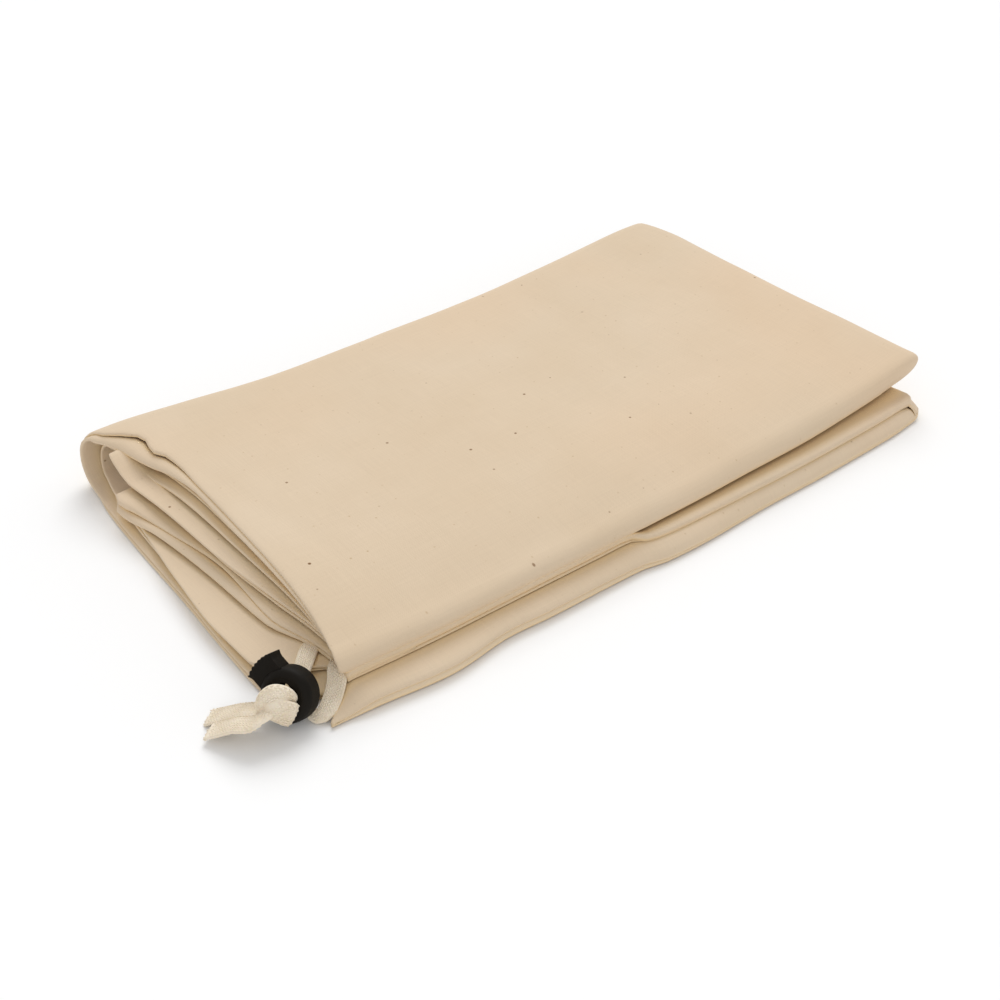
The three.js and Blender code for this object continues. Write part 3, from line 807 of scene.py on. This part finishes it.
# Point of the folded bag at a distance across, a distance along and an offset from its third's middle
def foldedPoints(run, x, offset):
    section, share = wayOf(run)
    outer = cloth["outerOffset"]
    frontTurn = outline["frontTurn"](x)
    backFold = outline["backFold"](x)
    pairShare = smoothStep(0.5 + offset / cloth["pairBlend"])
    frontEdge = lerp(outline["upperPair"](x), outline["lowerPair"](x), pairShare)
    leftEnd = 1 - ramp(x, 8, 45)
    innerSeam = outline["innerSeam"](x) + (1 - pairShare) * leftEnd * cloth["curlReach"]
    wrap = (cloth["upperHeight"] - cloth["lowerHeight"]) / 2
    turn = (cloth["upperHeight"] - cloth["innerHeight"]) / 2
    backAngle = math.pi * (share - 0.5)
    droop = outline["droop"](x) * (0.25 + 0.75 * (offset + outer) / (2 * outer))
    fullTurn = 2 * (turn + offset) - droop
    y = np.select(
        [section == 0, section == 1, section == 2, section == 3],
        [lerp(frontEdge, backFold, share), backFold + (wrap + offset) * np.cos(backAngle),
         lerp(backFold, frontTurn, share),
         frontTurn - (turn + offset) * np.sin(math.pi * np.clip(share, 0, 1) ** outline["sharp"](x))],
        lerp(frontTurn, innerSeam, share))
    reach = cloth["droopReach"]
    z = np.select(
        [section == 0, section == 1, section == 2, section == 3],
        [cloth["lowerHeight"] - offset,
         cloth["lowerHeight"] + wrap + (wrap + offset) * np.sin(backAngle),
         cloth["upperHeight"] + offset - droop * np.clip((frontTurn + reach - y) / reach, 0, 1) ** 2,
         cloth["innerHeight"] - offset + fullTurn * (0.5 + 0.5 * np.cos(math.pi * share))],
        cloth["innerHeight"] - offset)
    depth = np.clip((y - cloth["loftFrontY"]) / (cloth["loftBackY"] - cloth["loftFrontY"]), 0, 1) * 2
    lofted = np.where(depth < 1, lerp(loft["front"](x), loft["middle"](x), depth),
                      lerp(loft["middle"](x), loft["back"](x), depth - 1))
    z = z * lofted

    # the front of the lower third is full of air
    behind = y - outline["lowerPair"](x)
    risen = 1 - (1 - np.clip(behind / outline["rise"](x), 0, 1)) ** 2
    risen = risen * (1 - ramp(behind, 28, 50)) * ramp(x, -6, 16) * (1 - ramp(x, 270, 18))
    lowLip = (1 - ramp(behind, 0, 9)) * ramp(x, -3, 14)
    ownEdge = 1 - ramp(y, frontEdge, 8)
    puff = (puffOf(offset) * risen
            + lowLip * pairShare * (outline["lip"](x) - 1.43) * smoothStep((outer - offset) / 1.2))
    upperLip = lerp(leftLipOf(offset), topLipOf(offset), ramp(x, 120, 12))
    puff = puff + ownEdge * (1 - pairShare) * ramp(x, 0, 10) * upperLip
    z = z + np.where(section == 0, puff, 0)

    # the inner third's corner at the back: the upper pair curls up, the lower pair gapes
    curl = leftEnd * (1 - pairShare) * ramp(y, 54, 16) * cloth["curlHeight"]
    gape = ((1 - ramp(x, -2, 16)) * ramp(y, 30, 18) * pairShare
            * (1.2 - 1.5 * (offset - cloth["innerOffset"])))
    z = z + np.where(section == 4, curl + gape, 0)

    # the second sheet of the top hangs a little at its free corner
    sag = (1 - ramp(x, 6, 22)) * np.exp(-((y - 56) / 17) ** 2) * cloth["topSag"]
    z = z - np.where(section == 2, sag * (1 - ramp(offset, 1.3, 1.6)), 0)
    return np.stack([x + 0 * y, y, z + waves(section, x, y, z)], axis=-1)


# Slight unevenness of the cloth, and a few soft creases in its top
def waves(section, x, y, z):
    lifted = ramp(z, 6, 8)
    rolling = (0.35 * np.sin(x / 23.0 + y / 41.0 + 0.6) * np.sin(y / 29.0 - x / 67.0 + 1.1)
               + 0.22 * np.sin(x / 11.5 - y / 17.0 + 2.0) * np.sin(x / 37.0 + y / 13.0))
    total = rolling * lifted
    for ax, ay, bx, by, depth, width in creases:
        length = math.hypot(bx - ax, by - ay)
        along = ((x - ax) * (bx - ax) + (y - ay) * (by - ay)) / length
        beside = ((x - ax) * (by - ay) - (y - ay) * (bx - ax)) / length
        fade = ramp(along, -12, 24) * (1 - ramp(along - length, -12, 24))
        total = total - depth * fade * np.exp(-(beside / width) ** 2) * lifted * (section == 2)
    return total


# Rows across the width: distance from the front edge, and how far the panels come together
seamRows = [(1.7, 0.5), (0.7, 0.45), (0.1, 0.36), (0.0, 0.25), (0.25, 0.13), (0.9, 0.05), (2.2, 0.0)]


def acrossRows():
    total = sectionStarts[-1]
    rows = list(seamRows)
    for section in range(5):
        first, last = sectionStarts[section], sectionStarts[section + 1]
        folded = section in (1, 3)
        count = cloth["turnSteps"] if folded else int(round(sectionLengths[section] / cloth["cell"]))
        places = [lerp(first, last, i / count) for i in range(count + 1 if section == 4 else count)]
        rows += [(place, 0.0) for place in places if cloth["seamClear"] < place < total - cloth["seamClear"]]
    rows += [(total - inset, share) for inset, share in reversed(seamRows)]
    return np.array(rows)


# Columns along a panel: x and offset of both panels at one row, and the bottom seam's share
def alongColumns(run):
    outer, inner = cloth["outerOffset"], cloth["innerOffset"]
    left = [ends[f"sheet{k}"](run) for k in (1, 2, 3, 4)]
    centre = ends["right"](run) - outer
    groove = max(left[0], left[1]) + cloth["grooveDepth"]
    count = int(round(cloth["sheetLength"] / cloth["cell"]))
    shares = [(i / count) ** cloth["crowding"] for i in range(1, count)]
    seamWidth, mouth, gap = seamRows[-1][0], cloth["mouthInset"], cloth["hemGap"]
    columns = []

    def add(outerX, innerX, outerAt, innerAt, share=0.0):
        columns.append((outerX, innerX, outerAt, innerAt, share))

    # the bottom seam, and the sheets that it joins
    for back, share in ((1.0, 0.5), (0.45, 0.46)):
        add(lerp(left[0], groove, back), lerp(left[1], groove, back), outer, inner, share)
    for inset, share in seamRows[2:]:
        add(left[0] + inset, left[1] + inset, outer, inner, share)
    for share in shares:
        add(lerp(left[0] + seamWidth, centre, share), lerp(left[1] + seamWidth, centre, share), outer, inner)

    # the right fold
    nose = ends["nose"](run)
    reach = outer * (1.8 - 0.8 * nose)
    steps = cloth["noseSteps"]
    for i in range(steps + 1):
        bulge = math.sin(math.pi * (i / steps) ** nose)
        height = math.cos(math.pi * i / steps)
        add(centre + reach * bulge, centre + inner * bulge, outer * height, inner * height)

    # the two other sheets, back to the mouth, where each turns in to its hem
    for share in reversed(shares):
        add(lerp(left[3] + mouth, centre, share), lerp(left[2] + mouth, centre, share), -outer, -inner)
    for inset in (mouth, 0.8):
        add(left[3] + inset, left[2] + inset, -outer, -inner)
    for i in range(5):
        angle = math.pi * (i / 4)
        inset = gap / 2 * (1 - math.sin(angle))
        turned = gap / 2 * (1 - math.cos(angle))
        add(left[3] + inset, left[2] + inset, -outer + turned, -inner - turned)
    for inset in (0.8, 1.6, 4.0, 8.0, 13.0, 19.0, cloth["hemDepth"]):
        add(left[3] + inset, left[2] + inset, -outer + gap, -inner - gap)
    return np.array(columns)


def makeBag():
    rows = acrossRows()
    grid = np.array([alongColumns(run) for run in rows[:, 0]])
    run = np.repeat(rows[:, :1], grid.shape[1], axis=1)
    sideShare = np.repeat(rows[:, 1:], grid.shape[1], axis=1)
    share = np.maximum(sideShare, grid[:, :, 4])
    panels = []
    for own, other, ownAt, otherAt in ((0, 1, 2, 3), (1, 0, 3, 2)):
        x = lerp(grid[:, :, own], grid[:, :, other], sideShare)
        offset = lerp(grid[:, :, ownAt], grid[:, :, otherAt], share)
        panels.append((x, offset, foldedPoints(run, x, offset)))
    rowCount, columnCount = run.shape
    size = rowCount * columnCount
    points = []
    uvs = []
    faces = []
    for k, (x, offset, place) in enumerate(panels):
        points.append(place.reshape(-1, 3))
        half = columnCount // 2
        along = np.where(np.arange(columnCount)[None, :] < half, x, cloth["weaveTurn"] - x)
        along = along + cloth["weaveApart"] * k
        uvs.append(np.stack([along * mm, run * mm], axis=-1).reshape(-1, 2))
        for i in range(rowCount - 1):
            for j in range(columnCount - 1):
                a = k * size + i * columnCount + j
                quad = (a, a + 1, a + columnCount + 1, a + columnCount)
                faces.append(quad if k == 0 else quad[::-1])
    piece = meshPiece("laundry_bag_cloth", placed(np.vstack(points)), faces, calicoCloth, np.vstack(uvs))
    faceOutwards(piece, mergeWithin=0.01 * mm)
    piece.data.shade_smooth()
    wall = piece.modifiers.new("thickness", "SOLIDIFY")
    wall.thickness = cloth["thickness"] * mm
    wall.offset = 0.0
    return settle(piece)


bag = makeBag()
print("cloth folded")


# Moulded polypropylene, black and satin, with a fine grain from the mould.
def mouldedPlastic():
    material, tree, shader = startMaterial("moulded black polypropylene",
                                           {"IOR": 1.49, "Specular IOR Level": 0.1})
    where = addNode(tree, "ShaderNodeTexCoord").outputs["Object"]
    grain = addNode(tree, "ShaderNodeTexNoise", {"Vector": where, "Scale": 2600.0, "Detail": 3.0})
    smear = addNode(tree, "ShaderNodeTexNoise", {"Vector": where, "Scale": 240.0, "Detail": 2.0})
    rough = addNode(tree, "ShaderNodeMapRange",
                    {"Value": smear.outputs["Fac"], "From Min": 0.3, "From Max": 0.7,
                     "To Min": 0.5, "To Max": 0.66})
    tone = addNode(tree, "ShaderNodeMix",
                   {"Factor": smear.outputs["Fac"], 6: colourOf("#14110d"), 7: colourOf("#1c1813")},
                   data_type="RGBA")
    bump = addNode(tree, "ShaderNodeBump",
                   {"Strength": 0.25, "Distance": 0.00005, "Height": grain.outputs["Fac"]})
    linkInto(tree, shader, {"Base Color": tone.outputs[2], "Roughness": rough.outputs["Result"],
                            "Normal": bump.outputs["Normal"]})
    return material


blackPlastic = mouldedPlastic()

bodyShape = {
    "segments": 96,
    "edgeRadius": 2.5,
    "boreEdge": 0.5,
    "faceRadius": 6.3,
    "faceStep": 0.22,
    "faceSlope": 0.25,
    "edge": 0.18,
}
plungerShape = {
    "innerEnd": -2.6,
    "windowStart": -1.95,
    "windowEnd": 6.15,
    "windowHalf": 3.2,
    "bladeHalf": 3.8,
    "neckStart": 7.0,
    "neckHalf": 4.9,
    "flareStart": 10.6,
    "flareEnd": 12.7,
    "flareHalf": 5.6,
    "capEdge": 13.0,
    "capCrown": 14.2,
    "teeth": 7,
    "toothDepth": 0.42,
    "edge": 0.28,
}


def lockMatrix():
    turned = Matrix([list(lockOut), list(lockSide), list(lockAxis)]).transposed().to_4x4()
    return Matrix.Translation(Vector(placed(lockCentre))) @ turned


def boxCutter(low, high):
    build = bmesh.new()
    bmesh.ops.create_cube(build, size=1.0)
    size = [(b - a) * mm for a, b in zip(low, high)]
    middle = [(a + b) / 2 * mm for a, b in zip(low, high)]
    place = Matrix.Translation(middle) @ Matrix.Diagonal((*size, 1.0))
    bmesh.ops.transform(build, matrix=place, verts=build.verts)
    return addObject("cutter", meshOf(build, "cutter"))


# Cuts a piece, rounds its edges and puts it in its place in the lock
def finishLockPiece(piece, cutters, edge, segments):
    for cutter in cutters:
        cut = piece.modifiers.new("cut", "BOOLEAN")
        cut.operation = "DIFFERENCE"
        cut.solver = "EXACT"
        cut.object = cutter
    soften = piece.modifiers.new("edges", "BEVEL")
    soften.width = edge * mm
    soften.segments = segments
    soften.limit_method = "ANGLE"
    soften.angle_limit = math.radians(50)
    settle(piece)
    for cutter in cutters:
        bpy.data.objects.remove(cutter)
    piece.data.transform(lockMatrix())
    piece.data.shade_smooth()
    return piece


def makeLockBody():
    shape = bodyShape
    half = lock["thickness"] / 2
    bore, radius, edge = lock["boreRadius"], lock["radius"], shape["edgeRadius"]
    profile = []
    for side in (-1, 1):
        part = [(bore, side * (half - shape["boreEdge"] - shape["faceStep"]))]
        for i in range(1, 5):
            angle = math.pi / 2 * i / 4
            part.append((bore + shape["boreEdge"] * (1 - math.cos(angle)),
                         side * (half - shape["faceStep"] - shape["boreEdge"] * (1 - math.sin(angle)))))
        part.append((shape["faceRadius"] - shape["faceSlope"], side * (half - shape["faceStep"])))
        part.append((shape["faceRadius"], side * half))
        for i in range(9):
            angle = math.pi / 2 * (1 - i / 8)
            part.append((radius - edge + edge * math.cos(angle),
                         side * (half - edge + edge * math.sin(angle))))
        profile.append(part)
    ring = profile[1] + profile[0][::-1]
    count = shape["segments"]
    points = []
    for i in range(count):
        angle = 2 * math.pi * i / count
        points += [(r * math.cos(angle) * mm, r * math.sin(angle) * mm, z * mm) for r, z in ring]
    body = meshPiece("lock_shell", points, ringFaces(count, len(ring), closed=True), blackPlastic)
    faceOutwards(body)
    p = plungerShape
    gap = lock["runningGap"]
    wideEnd = p["neckStart"] - lock["travel"] - gap
    depth = lock["plungerThickness"] / 2 + gap
    cutters = [
        boxCutter((p["innerEnd"] - lock["travel"] - gap, -p["bladeHalf"] - gap, -depth),
                  (wideEnd + 1, p["bladeHalf"] + gap, depth)),
        boxCutter((wideEnd, -p["neckHalf"] - gap, -depth), (radius + 3, p["neckHalf"] + gap, depth)),
    ]
    return finishLockPiece(body, cutters, shape["edge"], 2)


def makePlunger():
    p = plungerShape
    side = [(p["innerEnd"], p["bladeHalf"]), (p["neckStart"], p["bladeHalf"]),
            (p["neckStart"], p["neckHalf"]), (p["flareStart"], p["neckHalf"])]
    for i in range(1, 6):
        share = i / 5
        side.append((lerp(p["flareStart"], p["flareEnd"], share),
                     lerp(p["neckHalf"], p["flareHalf"], share * share)))
    outer = [(x, -y) for x, y in side]
    steps = 8 * p["teeth"]
    for i in range(steps + 1):
        across = i / steps * 2 - 1
        crown = lerp(p["capEdge"], p["capCrown"], 1 - across * across)
        groove = p["toothDepth"] * (0.5 - 0.5 * math.cos(2 * math.pi * i / steps * p["teeth"])) ** 2
        outer.append((crown - groove, across * p["flareHalf"]))
    outer += side[::-1]
    build = bmesh.new()
    half = lock["plungerThickness"] / 2 * mm
    ring = [build.verts.new((x * mm, y * mm, -half)) for x, y in outer]
    face = build.faces.new(ring)
    raised = bmesh.ops.extrude_face_region(build, geom=[face])
    top = [v for v in raised["geom"] if isinstance(v, bmesh.types.BMVert)]
    bmesh.ops.translate(build, verts=top, vec=(0, 0, 2 * half))
    bmesh.ops.recalc_face_normals(build, faces=build.faces)
    button = addObject("lock_button", meshOf(build, "lock_button"))
    button.data.materials.append(blackPlastic)
    window = boxCutter((p["windowStart"], -p["windowHalf"], -6), (p["windowEnd"], p["windowHalf"], 6))
    return finishLockPiece(button, [window], p["edge"], 3)


lockBody = makeLockBody()
lockButton = makePlunger()
print("lock moulded")

# Floor and light
studio = {
    "floor": "#f6f6f6",
    "sky": "#ffffff",
    "skyStrength": 0.69,
    "lights": [                  # name, colour, strength, where it comes from, angle across
        ("softbox", "#ffffff", 1.55, (0.45, 0.45, 0.72), 40.0),
        ("front fill", "#ffffff", 0.46, (-0.5, -0.84, 0.24), 60.0),
    ],
}


def makeStudio():
    floorPaint = startMaterial("matt white table top", {
        "Base Color": colourOf(studio["floor"]), "Roughness": 0.9, "Specular IOR Level": 0.1})[0]
    size = 4.0
    floor = meshPiece("floor", [(-size, -size, 0), (size, -size, 0), (size, size, 0), (-size, size, 0)],
                      [(0, 1, 2, 3)], floorPaint)
    world = bpy.data.worlds.new("studio")
    world.use_nodes = True
    world.node_tree.nodes["Background"].inputs["Color"].default_value = colourOf(studio["sky"])
    world.node_tree.nodes["Background"].inputs["Strength"].default_value = studio["skyStrength"]
    scene.world = world
    for name, colour, strength, source, across in studio["lights"]:
        light = bpy.data.lights.new(name, "SUN")
        light.angle = math.radians(across)
        light.energy = strength
        light.color = colourOf(colour)[:3]
        lamp = addObject(name, light)
        lamp.location = source
        lamp.rotation_euler = (-Vector(source)).to_track_quat("-Z", "Y").to_euler()
    scene.view_settings.view_transform = "Standard"
    scene.view_settings.look = "None"


makeStudio()

# What each piece stands for
for piece, body, slot, nodes in (
        (bag, "bag", "cotton_cloth", ["bag_cloth"]),
        (upperCord, "bag", "cotton_cord", ["cord_upper", "cord_end_back"]),
        (lowerCord, "bag", "cotton_cord", ["cord_lower", "cord_end_front"]),
        (knotPiece, "bag", "cotton_cord", ["cord_knot"]),
        (lockBody, "bag", "lock_plastic", ["lock_body"]),
        (lockButton, "plunger", "lock_plastic", ["lock_plunger"])):
    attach(piece, body)
    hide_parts(*nodes)
